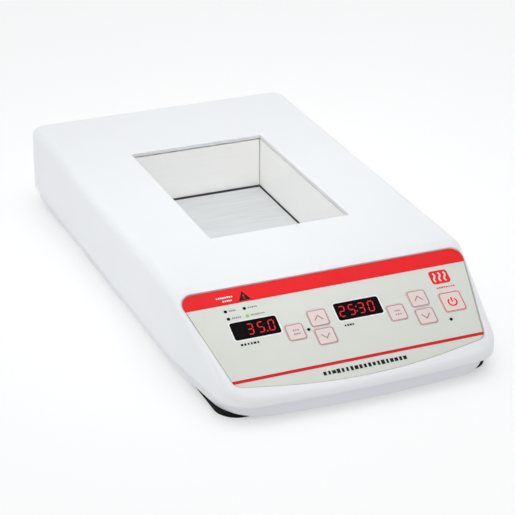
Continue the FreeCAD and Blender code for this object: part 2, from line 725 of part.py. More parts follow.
def mains_inlet():
    wide, high, thick = INLET_FLANGE
    width, height, deep = INLET_BODY
    y1 = INLET_BACK
    flange = box(INLET_X - wide / 2, y1 - thick, INLET_Z - high / 2,
                 INLET_X + wide / 2, y1, INLET_Z + high / 2)
    body = box(INLET_X - width / 2, y1 - deep, INLET_Z - height / 2,
               INLET_X + width / 2, y1, INLET_Z + height / 2)
    dx, dz, dy = DRAWER
    bay = box(INLET_X - dx / 2 - SLACK, y1 - dy - 1, DRAWER_Z - dz / 2 - SLACK,
              INLET_X + dx / 2 + SLACK, y1 + 5, DRAWER_Z + dz / 2 + SLACK)
    inlet = flange.fuse(body).cut(socket_space()).cut(bay)
    for x in INLET_SCREW_X:
        inlet = inlet.cut(rod(x, y1 - 20, INLET_Z, 1.6, 40, BACKWARD))
        inlet = inlet.cut(Part.makeCone(1.6, 2.85, 1.25, Vector(x, y1 - 1.24, INLET_Z), Vector(*BACKWARD)))
    half_width, half_height, _, _ = PIN
    for x, z in pin_places():
        slot = box(x - half_width, y1 - 40, z - half_height, x + half_width, y1 - 10, z + half_height)
        inlet = inlet.cut(slot)
    return inlet.removeSplitter()


def inlet_pins():
    w, h, reach, tip = PIN
    return [box(x - w, INLET_BACK - reach, z - h, x + w, INLET_BACK - tip, z + h) for x, z in pin_places()]


def inlet_screws():
    """Countersunk screws, flush with the flange."""
    radius, length, cone_height = INLET_SCREW_RADIUS, 10.0, 1.2
    screws = []
    for x in INLET_SCREW_X:
        shank = rod(x, INLET_BACK - length, INLET_Z, radius, length, BACKWARD)
        start = Vector(x, INLET_BACK - cone_height, INLET_Z)
        cone = Part.makeCone(radius, 2.6, cone_height, start, Vector(*BACKWARD))
        screws.append(shank.fuse(cone).removeSplitter())
    return screws


def inlet_nuts():
    across, thick = 3.0, 2.4
    nuts = []
    for x in INLET_SCREW_X:
        angles = [math.radians(60 * i) for i in range(6)]
        nut = prism([(x + across * math.cos(a), across * math.sin(a), 0.2) for a in angles], 0, thick)
        nut.rotate(Vector(0, 0, 0), Vector(1, 0, 0), 90)
        nut.translate(Vector(0, CASE_BACK - WALL - 0.05, INLET_Z))
        nuts.append(nut.cut(rod(x, CASE_BACK - 20, INLET_Z, INLET_SCREW_RADIUS + 0.05, 30, BACKWARD)))
    return nuts


def fuse_drawer():
    """Pull-out tray with two fuse beds and a finger notch under its front edge."""
    dx, dz, dy = DRAWER
    y1 = INLET_BACK
    low = DRAWER_Z - dz / 2
    tray = box(INLET_X - dx / 2, y1 - dy, low, INLET_X + dx / 2, y1 - 0.3, low + dz)
    bed = FUSE[0] + 0.2
    for x in FUSE_X:
        tray = tray.cut(box(x - bed, y1 - dy + 1.0, DRAWER_Z - bed, x + bed, y1 - 3.0, DRAWER_Z + 9))
    notch = box(INLET_X - 4, y1 - 2.0, low - 0.1, INLET_X + 4, y1 + 1, low + 1.6)
    return tray.cut(notch)


def fuses():
    radius, length = FUSE
    start = INLET_BACK - DRAWER[2] + 1.1
    return [rod(x, start, DRAWER_Z - 0.1, radius, length, BACKWARD) for x in FUSE_X]


# ---------------------------------------------------------------- internal leads
def heater_leads():
    z = PLATE_UNDER - 0.9
    leads = []
    for x, end in zip((28.0, 32.0), TERMINALS):
        path = [(x, WELL_MID + MAT[1] / 2 + 0.2, z), (x, 113.5, z), (x, 117.0, 24.0),
                (end, 118.5, 31.0), (end, TERMINAL_Y, 29.0), (end, TERMINAL_Y, BOARD_SURFACE + 7.2)]
        leads.append(wire(path, 0.7, 1.5))
    return leads


def mains_leads():
    leads = []
    back = INLET_BACK - PIN[2]
    for i, ((x, z), end) in enumerate(zip(pin_places(), TERMINALS[2:])):
        path = [(x, back - 0.1, z), (x, back - 8.0, z), (x - 14.0, 135.0, z + 3.0 * i),
                (end, 131.0, z + 1.0), (end, TERMINAL_Y, z - 3.0), (end, TERMINAL_Y, BOARD_SURFACE + 7.2)]
        leads.append(wire(path, 0.8, 1.5))
    return leads


def earth_lead():
    """From the earth pin to the underside of the liner's flange."""
    x, z = pin_places()[2]
    left, rise = x - 2.0, 104.5
    path = [(x, INLET_BACK - PIN[2] - 0.1, z), (x, 134.0, z), (left, 113.0, z + 7.0),
            (left, rise, z + 9.0), (left, rise, LINER_TOP - LINER)]
    return wire(path, 0.8, 2.0)


def probe_lead():
    """Short lead from the probe's tail down to the power board."""
    end = temperature_probe().BoundBox.YMax
    turn = end + 3.2
    path = [(PROBE_X, end, PROBE_Z), (PROBE_X, turn, PROBE_Z), (PROBE_X, turn, BOARD_SURFACE)]
    return wire(path, 0.8, 1.5)


def ribbon_cable():
    """Flat cable along the tray floor, from the power board forward to the control board."""
    strip = 0.9
    left, right = -85.0, -75.0
    front, back, top = -140.0, 150.0, 20.0
    z = TRAY_INSIDE + 0.2
    run = box(left, front, z, right, back, z + strip)
    rear = box(left, back - strip, z, right, back, top)
    over = box(right - 1.0, back - strip, top - strip, -60, back, top)
    rise = box(left, front, z, right, front + strip, 29.5)
    return run.fuse([rear, over, rise]).removeSplitter()


def main():
    os.makedirs("parts", exist_ok=True)
    save("top_housing", top_housing())
    save("base_tray", base_tray())
    save("rubber_feet", *rubber_feet())
    save("foot_screws", *foot_screws())
    save("base_screws", *base_screws())
    save("control_overlay", control_overlay())
    for name, place in KEYS.items():
        save(name, key(*place))
    save("key_domes", *key_domes())
    for kind in DISPLAYS:
        save(f"display_window_{kind}", display_window(kind))
        save(f"display_module_{kind}", display_module(kind))
    save("indicator_leds", *[led(x, down) for x, down in DARK_LEDS])
    save("ready_led", led(*READY_LED))
    save("control_board", control_board())
    save("board_spacers", *board_spacers())
    save("board_screws", *board_screws())
    save("well_liner", well_liner())
    save("liner_screws", *liner_screws())
    save("well_insulation", well_insulation())
    save("heater_plate", heater_plate())
    save("plate_standoffs", *plate_standoffs())
    save("heater_mat", heater_mat())
    save("base_insulation", base_insulation())
    save("temperature_probe", temperature_probe())
    save("thermal_cutout", thermal_cutout())
    save("power_board", power_board())
    save("power_board_screws", *power_board_screws())
    save("transformer", transformer())
    save("relay", relay())
    save("triac", triac())
    save("triac_heatsink", triac_heatsink())
    save("capacitors", *capacitors())
    save("terminal_block", terminal_block())
    save("mains_inlet", mains_inlet())
    save("inlet_pins", *inlet_pins())
    save("inlet_screws", *inlet_screws())
    save("inlet_nuts", *inlet_nuts())
    save("fuse_drawer", fuse_drawer())
    save("fuses", *fuses())
    save("heater_leads", *heater_leads())
    save("mains_leads", *mains_leads())
    save("earth_lead", earth_lead())
    save("probe_lead", probe_lead())
    save("ribbon_cable", ribbon_cable())


main()
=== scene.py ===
import bpy
import bmesh
import json
import math
from mathutils import Matrix, Vector
from mathutils.geometry import convex_hull_2d


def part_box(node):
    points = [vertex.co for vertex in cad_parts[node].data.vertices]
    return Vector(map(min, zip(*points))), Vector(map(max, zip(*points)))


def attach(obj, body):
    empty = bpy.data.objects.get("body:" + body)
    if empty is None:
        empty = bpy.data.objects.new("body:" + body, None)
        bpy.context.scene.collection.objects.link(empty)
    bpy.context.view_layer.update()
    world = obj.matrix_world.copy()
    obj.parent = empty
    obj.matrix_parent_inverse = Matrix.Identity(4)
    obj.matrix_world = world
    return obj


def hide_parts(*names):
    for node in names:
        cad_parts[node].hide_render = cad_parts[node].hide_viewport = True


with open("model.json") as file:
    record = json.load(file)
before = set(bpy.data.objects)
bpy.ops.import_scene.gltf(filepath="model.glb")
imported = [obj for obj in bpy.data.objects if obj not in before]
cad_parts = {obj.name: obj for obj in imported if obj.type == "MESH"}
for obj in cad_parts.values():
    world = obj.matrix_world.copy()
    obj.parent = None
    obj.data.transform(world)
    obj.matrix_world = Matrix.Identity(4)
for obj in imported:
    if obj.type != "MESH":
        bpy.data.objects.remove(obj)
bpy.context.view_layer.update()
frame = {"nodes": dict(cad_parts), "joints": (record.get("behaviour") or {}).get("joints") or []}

nodes = frame["nodes"]
mm = 0.001

# ---- where the control panel lies, read from the frame
pressAxis = Vector(next(j for j in frame["joints"] if j["name"] == "standby_press")["axis"])
slope = math.asin(pressAxis.y)
filmThick = 0.4 * mm
filmLow, filmHigh = (Vector(c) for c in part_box("control_overlay"))
# middle of the film's upper edge
panelTop = Vector((0, filmHigh.y - filmThick * math.sin(slope), filmHigh.z))
# x to the right, -y down the slope, z out of the panel
panelMatrix = Matrix.Translation(panelTop) @ Matrix.Rotation(slope, 4, "X")
toPanel = panelMatrix.inverted()


def onPanel(node):
    # centre of a CAD node in panel measures
    low, high = (Vector(c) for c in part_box(node))
    return toPanel @ ((low + high) / 2)


# ---- materials
def newMaterial(name):
    mat = bpy.data.materials.new(name)
    mat.use_nodes = True
    return mat, mat.node_tree, mat.node_tree.nodes["Principled BSDF"]


def addNode(tree, kind, inputs=None, **settings):
    node = tree.nodes.new(kind)
    for key, value in settings.items():
        setattr(node, key, value)
    for key, value in (inputs or {}).items():
        node.inputs[key].default_value = value
    return node


def feed(tree, socket, value):
    # link a socket's value, or set a plain one
    if isinstance(value, bpy.types.NodeSocket):
        tree.links.new(value, socket)
    else:
        socket.default_value = value


def objectCoords(tree, stretch=(1, 1, 1)):
    coords = addNode(tree, "ShaderNodeTexCoord")
    place = addNode(tree, "ShaderNodeMapping", {"Scale": stretch})
    tree.links.new(coords.outputs["Object"], place.inputs["Vector"])
    return place.outputs["Vector"]


def noise(tree, vector, scale, detail=3.0, rough=0.5):
    node = addNode(tree, "ShaderNodeTexNoise", {"Scale": scale, "Detail": detail, "Roughness": rough})
    tree.links.new(vector, node.inputs["Vector"])
    return node.outputs["Fac"]


def spread(tree, value, low, high, fromLow=0.3, fromHigh=0.7):
    node = addNode(tree, "ShaderNodeMapRange",
                   {"From Min": fromLow, "From Max": fromHigh, "To Min": low, "To Max": high})
    tree.links.new(value, node.inputs["Value"])
    return node.outputs["Result"]


def mixColour(tree, factor, first, second):
    # sockets 6 and 7 and output 2 are the node's colours
    node = addNode(tree, "ShaderNodeMix", data_type="RGBA")
    for socket, value in ((6, first), (7, second)):
        feed(tree, node.inputs[socket], (*value, 1) if isinstance(value, tuple) else value)
    feed(tree, node.inputs[0], factor)
    return node.outputs[2]


def mathNode(tree, operation, first, second):
    node = addNode(tree, "ShaderNodeMath", operation=operation)
    feed(tree, node.inputs[0], first)
    feed(tree, node.inputs[1], second)
    return node.outputs[0]


def vectorNode(tree, x, y, z):
    node = addNode(tree, "ShaderNodeCombineXYZ")
    for socket, value in zip(node.inputs, (x, y, z)):
        feed(tree, socket, value)
    return node.outputs[0]


def edgeMask(tree, radius):
    # 1 on convex and concave edges, 0 on open faces, from how far the rounded normal leans from the flat one
    bevel = addNode(tree, "ShaderNodeBevel", {"Radius": radius}, samples=4)
    face = addNode(tree, "ShaderNodeNewGeometry")
    dot = addNode(tree, "ShaderNodeVectorMath", operation="DOT_PRODUCT")
    tree.links.new(bevel.outputs["Normal"], dot.inputs[0])
    tree.links.new(face.outputs["Normal"], dot.inputs[1])
    return spread(tree, dot.outputs["Value"], 1.0, 0.0, 0.86, 0.995), bevel.outputs["Normal"]


# what a finish has unless its look says otherwise; depth is in millimetres, blotch and grain are noise scales
usualLook = dict(stretch=(1, 1, 1), vary=0.05, blotch=25, grain=1500, bump=0.1, depth=0.05, wear=0.3,
                 metal=0.0, specular=0.5, coat=0.0, coatRough=0.1)


def makeFinish(name, ownLook):
    look = {**usualLook, **ownLook}
    mat, tree, shader = newMaterial(name)
    link = tree.links.new
    vector = objectCoords(tree, look["stretch"])
    base = look["colour"]
    shade = tuple(c * (1 - look["vary"]) for c in base)
    colour = mixColour(tree, spread(tree, noise(tree, vector, look["blotch"]), 0, 1), base, shade)
    if "speck" in look:
        speckScale, speckColour, speckAmount = look["speck"]
        dots = spread(tree, noise(tree, vector, speckScale, 1.0), 0, speckAmount, 0.6, 0.68)
        colour = mixColour(tree, dots, colour, speckColour)
    # painted shade: a dark colour painted on the surface under a given height, standing in for the shadow in
    # the gap at a wall's foot
    if "paintedShadeBelow" in look:
        height = addNode(tree, "ShaderNodeSeparateXYZ")
        link(objectCoords(tree), height.inputs[0])
        top = look["paintedShadeBelow"]
        paintedShadeMask = spread(tree, height.outputs["Z"], 1.0, 0.0, top - 0.2 * mm, top)
        colour = mixColour(tree, paintedShadeMask, colour, look["paintedShadeColour"])
    low, high = look["rough"]
    rough = spread(tree, noise(tree, vector, look["blotch"] * 3, 4.0), low, high)
    normal = None
    if "edge" in look:
        mask, normal = edgeMask(tree, look["edge"])
        colour = mixColour(tree, mathNode(tree, "MULTIPLY", mask, look["wear"]), colour, look["worn"])
    link(colour, shader.inputs["Base Color"])
    link(rough, shader.inputs["Roughness"])
    grain = noise(tree, vector, look["grain"], 2.0, 0.6)
    bump = addNode(tree, "ShaderNodeBump", {"Strength": look["bump"], "Distance": look["depth"] * mm})
    link(grain, bump.inputs["Height"])
    if normal is not None:
        link(normal, bump.inputs["Normal"])
    link(bump.outputs["Normal"], shader.inputs["Normal"])
    for socket, key in (("Metallic", "metal"), ("Specular IOR Level", "specular"), ("Coat Weight", "coat"),
                        ("Coat Roughness", "coatRough")):
        shader.inputs[socket].default_value = look[key]
    if "glow" in look:
        shader.inputs["Emission Color"].default_value = (*look["glow"], 1)
        shader.inputs["Emission Strength"].default_value = look["glowStrength"]
    return mat


looks = {
    "casePaint": dict(colour=(0.785, 0.80, 0.82), rough=(0.32, 0.42), vary=0.015, blotch=9, grain=2600,
                      bump=0.12, depth=0.03, edge=0.7 * mm, worn=(0.85, 0.86, 0.87), wear=0.5),
    "trayPlastic": dict(colour=(0.77, 0.78, 0.815), rough=(0.42, 0.55), vary=0.03, blotch=12, grain=1800,
                        bump=0.2, depth=0.05, edge=0.5 * mm, worn=(0.82, 0.82, 0.86), wear=0.4),
    "footRubber": dict(colour=(0.008, 0.008, 0.009), rough=(0.7, 0.9), vary=0.3, grain=1200, bump=0.4,
                       depth=0.1, edge=0.4 * mm, worn=(0.03, 0.03, 0.03), wear=0.4, specular=0.12),
    "zincScrew": dict(colour=(0.62, 0.62, 0.60), rough=(0.25, 0.45), vary=0.2, blotch=300, grain=4000,
                      bump=0.15, metal=1.0, edge=0.15 * mm, worn=(0.8, 0.8, 0.8), wear=0.6),
    "filmPrint": dict(colour=(0.655, 0.68, 0.62), rough=(0.42, 0.52), vary=0.03, blotch=14, grain=5200,
                      bump=0.16, depth=0.02, speck=(2600, (0.62, 0.64, 0.58), 0.35)),
    "keyFilm": dict(colour=(0.71, 0.625, 0.59), rough=(0.38, 0.5), vary=0.03, blotch=40, grain=5200,
                    bump=0.14, depth=0.02, edge=0.25 * mm, worn=(0.8, 0.76, 0.72), wear=0.5),
    "snapDome": dict(colour=(0.7, 0.7, 0.68), rough=(0.2, 0.35), vary=0.1, metal=1.0),
    "windowBlack": dict(colour=(0.0016, 0.0008, 0.0008), rough=(0.22, 0.3), vary=0.3, grain=900,
                        bump=0.02, specular=0.035),
    "blackPlastic": dict(colour=(0.016, 0.016, 0.018), rough=(0.38, 0.55), vary=0.25, blotch=60,
                         grain=2200, bump=0.25, depth=0.04, edge=0.3 * mm, worn=(0.07, 0.07, 0.07),
                         wear=0.5),
    "darkLens": dict(colour=(0.004, 0.0035, 0.0035), rough=(0.3, 0.4), vary=0.4, blotch=200, grain=900,
                     bump=0.03, specular=0.04),
    "greenLens": dict(colour=(0.12, 0.40, 0.03), rough=(0.1, 0.18), vary=0.2, blotch=500, grain=900,
                      bump=0.03, coat=0.2, glow=(0.36, 0.62, 0.03), glowStrength=0.3),
    "boardGreen": dict(colour=(0.015, 0.12, 0.05), rough=(0.25, 0.4), vary=0.3, blotch=90, grain=700,
                       bump=0.3, depth=0.05, coat=0.3),
    "whiteNylon": dict(colour=(0.72, 0.7, 0.64), rough=(0.4, 0.55), vary=0.08, grain=900, bump=0.15),
    # the well liner's walls get a near-black band at their foot: painted shade of the gap between the walls
    # and the well's floor
    "satinSheet": dict(colour=(0.97, 0.968, 0.95), paintedShadeBelow=19.7 * mm, paintedShadeColour=(0.07, 0.07, 0.075),
                       rough=(0.34, 0.46), vary=0.02, blotch=30, grain=500, bump=0.10, depth=0.03,
                       metal=0.15, stretch=(1, 1, 14), edge=0.35 * mm, worn=(0.97, 0.97, 0.96),
                       wear=0.5),
    "plateMetal": dict(colour=(0.80, 0.815, 0.83), rough=(0.36, 0.5), vary=0.08, blotch=35, grain=700,
                       bump=0.12, depth=0.03, metal=0.7, stretch=(1, 10, 1), edge=0.4 * mm,
                       worn=(0.85, 0.85, 0.85), wear=0.5),
    "ceramicPost": dict(colour=(0.8, 0.78, 0.72), rough=(0.3, 0.5), vary=0.1, blotch=200, grain=1500,
                        bump=0.3),
    "siliconeMat": dict(colour=(0.35, 0.07, 0.035), rough=(0.5, 0.7), vary=0.15, blotch=80, grain=1300,
                        bump=0.5),
    "ceramicFibre": dict(colour=(0.82, 0.8, 0.74), rough=(0.85, 1.0), vary=0.12, blotch=120, grain=700,
                         bump=0.9, depth=0.4),
    "brightPin": dict(colour=(0.75, 0.74, 0.7), rough=(0.15, 0.3), vary=0.1, blotch=300, metal=1.0,
                      edge=0.2 * mm, worn=(0.9, 0.9, 0.88), wear=0.5),
    "ironCore": dict(colour=(0.16, 0.13, 0.1), rough=(0.4, 0.6), vary=0.3, blotch=60, grain=400,
                     bump=0.6, depth=0.2, metal=0.4, stretch=(1, 12, 1)),
    "heatsinkMetal": dict(colour=(0.42, 0.43, 0.45), rough=(0.35, 0.5), vary=0.1, metal=0.9, grain=900,
                          bump=0.2, stretch=(8, 1, 1)),
    "terminalGreen": dict(colour=(0.02, 0.2, 0.07), rough=(0.35, 0.5), vary=0.1, blotch=90, grain=1500,
                          bump=0.15),
    "fuseGlass": dict(colour=(0.6, 0.66, 0.66), rough=(0.05, 0.12), vary=0.1, blotch=200, grain=300,
                      bump=0.02, coat=1.0),
    "wireJacket": dict(colour=(0.32, 0.3, 0.3), rough=(0.35, 0.5), vary=0.2, blotch=150, grain=1500,
                       bump=0.2),
    "redInk": dict(colour=(0.80, 0.012, 0.016), specular=0.15, rough=(0.40, 0.5), vary=0.05, blotch=20,
                   grain=5200, bump=0.16, depth=0.02),
    "deepRedInk": dict(colour=(0.64, 0.010, 0.022), specular=0.15, rough=(0.40, 0.5), vary=0.06,
                       blotch=20, grain=5200, bump=0.16, depth=0.02),
    "duskyInk": dict(colour=(0.47, 0.17, 0.18), rough=(0.42, 0.52), vary=0.08, blotch=60, grain=5200,
                     bump=0.16, depth=0.02, specular=0.3),
    "blackInk": dict(colour=(0.005, 0.005, 0.006), rough=(0.38, 0.5), vary=0.2, blotch=60, grain=5200,
                     bump=0.16, depth=0.02, specular=0.15),
    "greyInk": dict(colour=(0.22, 0.22, 0.21), rough=(0.42, 0.52), vary=0.1, blotch=60, grain=5200,
                    bump=0.16, depth=0.02),
    # olive-grey colour for a thin ring round the film's edge: painted shade of the seam, laid down like ink
    "paintedSeamShade": dict(colour=(0.34, 0.33, 0.26), rough=(0.42, 0.52), vary=0.08, blotch=60, grain=5200,
                     bump=0.16, depth=0.02),
    "whiteInk": dict(colour=(0.86, 0.87, 0.84), rough=(0.40, 0.5), vary=0.03, blotch=60, grain=5200,
                     bump=0.16, depth=0.02),
    "litSegment": dict(colour=(0.45, 0.012, 0.02), specular=0.1, rough=(0.3, 0.4), vary=0.1, blotch=400,
                       grain=900, bump=0.02, glow=(1.0, 0.015, 0.05), glowStrength=0.36),
    "dimSegment": dict(colour=(0.0035, 0.0016, 0.0016), specular=0.05, rough=(0.2, 0.3), vary=0.1,
                       blotch=400, grain=900, bump=0.02),
    "studioFloor": dict(colour=(0.62, 0.62, 0.62), specular=0.1, rough=(0.7, 0.8), vary=0.01, blotch=3,
                        grain=300, bump=0.02, glow=(1, 1, 1), glowStrength=0.36),
}
finishes = {name: makeFinish(name, look) for name, look in looks.items()}
print("materials:", len(finishes))

wearing = {
    "casePaint": ["top_housing"],
    "trayPlastic": ["base_tray"],
    "footRubber": ["rubber_feet"],
    "zincScrew": ["foot_screws", "base_screws", "board_screws", "liner_screws", "power_board_screws",
                  "inlet_screws", "inlet_nuts"],
    "filmPrint": ["control_overlay"],
    "keyFilm": ["temp_on_off_key", "temp_up_key", "temp_down_key", "time_on_off_key", "time_up_key",
                "time_down_key", "standby_key"],
    "snapDome": ["key_domes"],
    "windowBlack": ["display_window_temp", "display_window_time"],
    "blackPlastic": ["display_module_temp", "display_module_time", "thermal_cutout", "relay", "triac",
                     "capacitors", "mains_inlet", "fuse_drawer"],
    "darkLens": ["indicator_leds"],
    "greenLens": ["ready_led"],
    "boardGreen": ["control_board", "power_board"],
    "whiteNylon": ["board_spacers"],
    "satinSheet": ["well_liner"],
    "plateMetal": ["heater_plate"],
    "ceramicPost": ["plate_standoffs"],
    "siliconeMat": ["heater_mat"],
    "ceramicFibre": ["base_insulation", "well_insulation"],
    "brightPin": ["temperature_probe", "inlet_pins"],
    "ironCore": ["transformer"],
    "heatsinkMetal": ["triac_heatsink"],
    "terminalGreen": ["terminal_block"],
    "fuseGlass": ["fuses"],
    "wireJacket": ["heater_leads", "mains_leads", "earth_lead", "probe_lead", "ribbon_cable"],
}
for name, wearers in wearing.items():
    for wearer in wearers:
        data = nodes[wearer].data
        data.materials.clear()
        data.materials.append(finishes[name])
print("CAD nodes dressed:", sum(len(w) for w in wearing.values()))


# ---- flat printed shapes
def roundedRect(x, y, width, height, radius, steps=6):
    points = []
    for cornerX, cornerY, start in ((1, 1, 0), (-1, 1, 90), (-1, -1, 180), (1, -1, 270)):
        for i in range(steps + 1):
            angle = math.radians(start + 90 * i / steps)
            points.append((x + cornerX * (width / 2 - radius) + radius * math.cos(angle),
                           y + cornerY * (height / 2 - radius) + radius * math.sin(angle)))
    return points


def circle(x, y, radius, steps=24):
    return [(x + radius * math.cos(2 * math.pi * i / steps), y + radius * math.sin(2 * math.pi * i / steps))
            for i in range(steps)]


def stroke(points, width):
    # closed outline round an open line of the given width
    left, right = [], []
    for i, (x, y) in enumerate(points):
        before = Vector(points[max(i - 1, 0)])
        after = Vector(points[min(i + 1, len(points) - 1)])
        along = (after - before).normalized()
        scale = width / 2
        if 0 < i < len(points) - 1:
            inward = (Vector((x, y)) - before).normalized()
            scale /= max(along.dot(inward), 0.5)
        side = Vector((-along.y, along.x)) * scale
        left.append((x + side.x, y + side.y))
        right.append((x - side.x, y - side.y))
    return left + right[::-1]


inkThick = 0.03  # millimetres
inkClear = 0.004  # between the ink's under side and the face it lies on


def printed(name, outlines, ink, body="body", lift=0.0):
    curve = bpy.data.curves.new(name, "CURVE")
    curve.dimensions = "2D"
    curve.fill_mode = "BOTH"
    curve.extrude = inkThick * mm / 2
    for outline in outlines:
        spline = curve.splines.new("POLY")
        spline.points.add(len(outline) - 1)
        for point, (x, y) in zip(spline.points, outline):
            point.co = (x * mm, y * mm, 0, 1)
        spline.use_cyclic_u = True
    flat = bpy.data.objects.new(name + "Line", curve)
    mesh = bpy.data.meshes.new_from_object(flat)
    bpy.data.objects.remove(flat)
    mesh.name = name
    mesh.transform(panelMatrix @ Matrix.Translation((0, 0, (lift + inkThick / 2 + inkClear) * mm)))
    piece = bpy.data.objects.new(name, mesh)
    bpy.context.scene.collection.objects.link(piece)
    mesh.materials.clear()
    mesh.materials.append(finishes[ink])
    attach(piece, body)
    return piece


def hull(points):
    flat = [Vector(p) for p in points]
    return [tuple(flat[i]) for i in convex_hull_2d(flat)]


def inset(outline, distance):
    # outline runs anticlockwise
    moved = []
    for i, (x, y) in enumerate(outline):
        along = (Vector(outline[(i + 1) % len(outline)]) - Vector(outline[i - 1])).normalized()
        moved.append((x - along.y * distance, y + along.x * distance))
    return moved


def clip(outline, low, high):
    # the part of a convex outline between two levels of y
    for level, side in ((low, 1), (high, -1)):
        kept = []
        for i, here in enumerate(outline):
            last = outline[i - 1]
            inside, was = ((p[1] - level) * side >= 0 for p in (here, last))
            if inside != was:
                t = (level - last[1]) / (here[1] - last[1])
                kept.append((last[0] + t * (here[0] - last[0]), level))
            if inside:
                kept.append(here)
        outline = kept
    return outline


# outline of the film's face, anticlockwise, in millimetres on the panel
face = [(toPanel @ v.co) / mm for v in nodes["control_overlay"].data.vertices]
filmOutline = hull([(round(p.x, 3), round(p.y, 3)) for p in face if p.z > -0.05])
area = sum(a[0] * b[1] - b[0] * a[1] for a, b in zip(filmOutline, filmOutline[1:] + filmOutline[:1]))
if area < 0:
    filmOutline.reverse()

# levels down the slope from the film's upper edge; the band's top is past that edge
band = dict(top=5, bottom=-11.8, stripeTop=-67.0, stripeBottom=-69.2, edge=0.12, border=(0.02, 0.55),
            lift=0.03)
# a thin dark ring just inside the film's outline: painted shade of the seam where the film meets the casing's
# recess
printed("film_border", [inset(filmOutline, distance) for distance in band["border"]], "paintedSeamShade")
filmEdge = inset(filmOutline, band["edge"])
printed("red_band", [clip(filmEdge, band["bottom"], band["top"])], "redInk", lift=band["lift"])
stripe = clip(filmEdge, band["stripeBottom"], band["stripeTop"])
printed("red_stripe", [stripe], "deepRedInk", lift=band["lift"])

# a plain heat symbol and a plain triangle stand where the panel has its printed signs
heatMark = dict(x=76.2, y=-20.3, width=13.4, height=10.4, corner=2.2, waves=3, line=1.3, across=0.56,
                tall=0.66, swing=0.8, steps=16)
waves = []
for i in range(heatMark["waves"]):
    middle = heatMark["x"] + heatMark["width"] * heatMark["across"] * (i / (heatMark["waves"] - 1) - 0.5)
    line = []
    for k in range(heatMark["steps"] + 1):
        rise = k / heatMark["steps"] - 0.5
        line.append((middle + heatMark["swing"] * math.sin(rise * 2 * math.pi),
                     heatMark["y"] + rise * heatMark["height"] * heatMark["tall"]))
    waves.append(stroke(line, heatMark["line"]))
badge = roundedRect(heatMark["x"], heatMark["y"], heatMark["width"], heatMark["height"], heatMark["corner"])
printed("heat_symbol", [badge] + waves, "redInk")

caution = dict(x=-57.7, y=-7.1, width=8.3, height=7.0, bar=(0.8, 2.4, 0.38), barDown=0.2, dot=0.45,
               dotDown=2.2, lift=0.07)
cx, cy, halfW, halfH = caution["x"], caution["y"], caution["width"] / 2, caution["height"] / 2
printed("caution_triangle", [[(cx - halfW, cy - halfH), (cx + halfW, cy - halfH), (cx, cy + halfH)],
                             roundedRect(cx, cy - caution["barDown"], *caution["bar"]),
                             circle(cx, cy - caution["dotDown"], caution["dot"])],
        "blackInk", lift=caution["lift"])

# ---- displays
segments = {"a": ((0, 1), (1, 1)), "b": ((1, 1), (1, 0)), "c": ((1, 0), (1, -1)), "d": ((0, -1), (1, -1)),
            "e": ((0, 0), (0, -1)), "f": ((0, 1), (0, 0)), "g": ((0, 0), (1, 0))}
shapes = {"0": "abcdef", "2": "abged", "3": "abgcd", "5": "afgcd", " ": ""}
digit = dict(width=3.5, height=7.5, line=0.8, gap=0.22, lean=0.1, dot=0.55, unlitLift=-0.02)
windowFrame = dict(height=13.2, outer=1.7, outerCorner=2.3, inner=0.3, innerCorner=1.7)
# the dots' places count digits from the first, then millimetres up
rows = {"temp": dict(text=" 350", first=-10.6, pitch=7.16, dots=((2.5, -3.7),)),
        "time": dict(text="2530", first=-11.4, pitch=6.8, dots=((1.5, 1.7), (1.5, -1.7)))}


def segment(name, x, y):
    (ax, ay), (bx, by) = segments[name]
    halfH = digit["height"] / 2
    a = Vector((ax * digit["width"], ay * halfH))
    b = Vector((bx * digit["width"], by * halfH))
    along = (b - a).normalized()
    side = Vector((-along.y, along.x)) * digit["line"] / 2
    a, b = a + along * digit["gap"], b - along * digit["gap"]
    tip = digit["line"] / 2
    nearA, nearB = a + along * tip, b - along * tip
    ring = [a, nearA + side, nearB + side, b, nearB - side, nearA - side]
    return [(x + p.x + p.y * digit["lean"], y + p.y) for p in ring]


def display(kind, text, first, pitch, dots):
    window = onPanel(f"display_window_{kind}") / mm
    lit, dim = [], []
    for i, sign in enumerate(text):
        x = window.x + first + i * pitch - digit["width"] / 2
        for name in segments:
            (lit if name in shapes[sign] else dim).append(segment(name, x, window.y))
    for place, y in dots:
        x = window.x + first + place * pitch + y * digit["lean"]
        lit.append(circle(x, window.y + y, digit["dot"], 12))
    printed(f"{kind}_digits", lit, "litSegment")
    printed(f"{kind}_unlit", dim, "dimSegment", lift=digit["unlitLift"])
    low, high = (toPanel @ Vector(c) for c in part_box(f"display_window_{kind}"))
    width = (high.x - low.x) / mm
    height = windowFrame["height"]
    rings = [roundedRect(window.x, window.y, width + windowFrame[side], height + windowFrame[side],
                         windowFrame[side + "Corner"]) for side in ("outer", "inner")]
    printed(f"{kind}_halo", rings, "whiteInk")


for kind, row in rows.items():
    display(kind, **row)
print("displays:", len(rows))

# ---- keys
keyPrint = dict(line=0.5, inset=0.35, outerCorner=1.7, innerCorner=1.3, chevron=(2.9, 1.7), chevronLine=0.75)
standby = dict(radius=2.9, line=1.05, gap=38, down=0.3, barUp=1.5, barHeight=3.8, corner=0.4, steps=24)
keySizes = {"standby_key": (15.6, 15.2), "temp_on_off_key": (12.4, 12.4), "time_on_off_key": (12.4, 12.4)}
arrowSize = (13.2, 12.6)
keyTop = 0.3  # a key's face over the film's


def keyOutline(name):
    centre = onPanel(name) / mm
    width, height = keySizes.get(name, arrowSize)
    edges = ((keyPrint["inset"], keyPrint["outerCorner"]),
             (keyPrint["inset"] + keyPrint["line"], keyPrint["innerCorner"]))
    return centre, [roundedRect(centre.x, centre.y, width - 2 * edge, height - 2 * edge, corner)
                    for edge, corner in edges]


def chevron(centre, way):
    halfW, rise = keyPrint["chevron"]
    line = [(centre.x - halfW, centre.y - rise * way), (centre.x, centre.y + rise * way),
            (centre.x + halfW, centre.y - rise * way)]
    return stroke(line, keyPrint["chevronLine"])


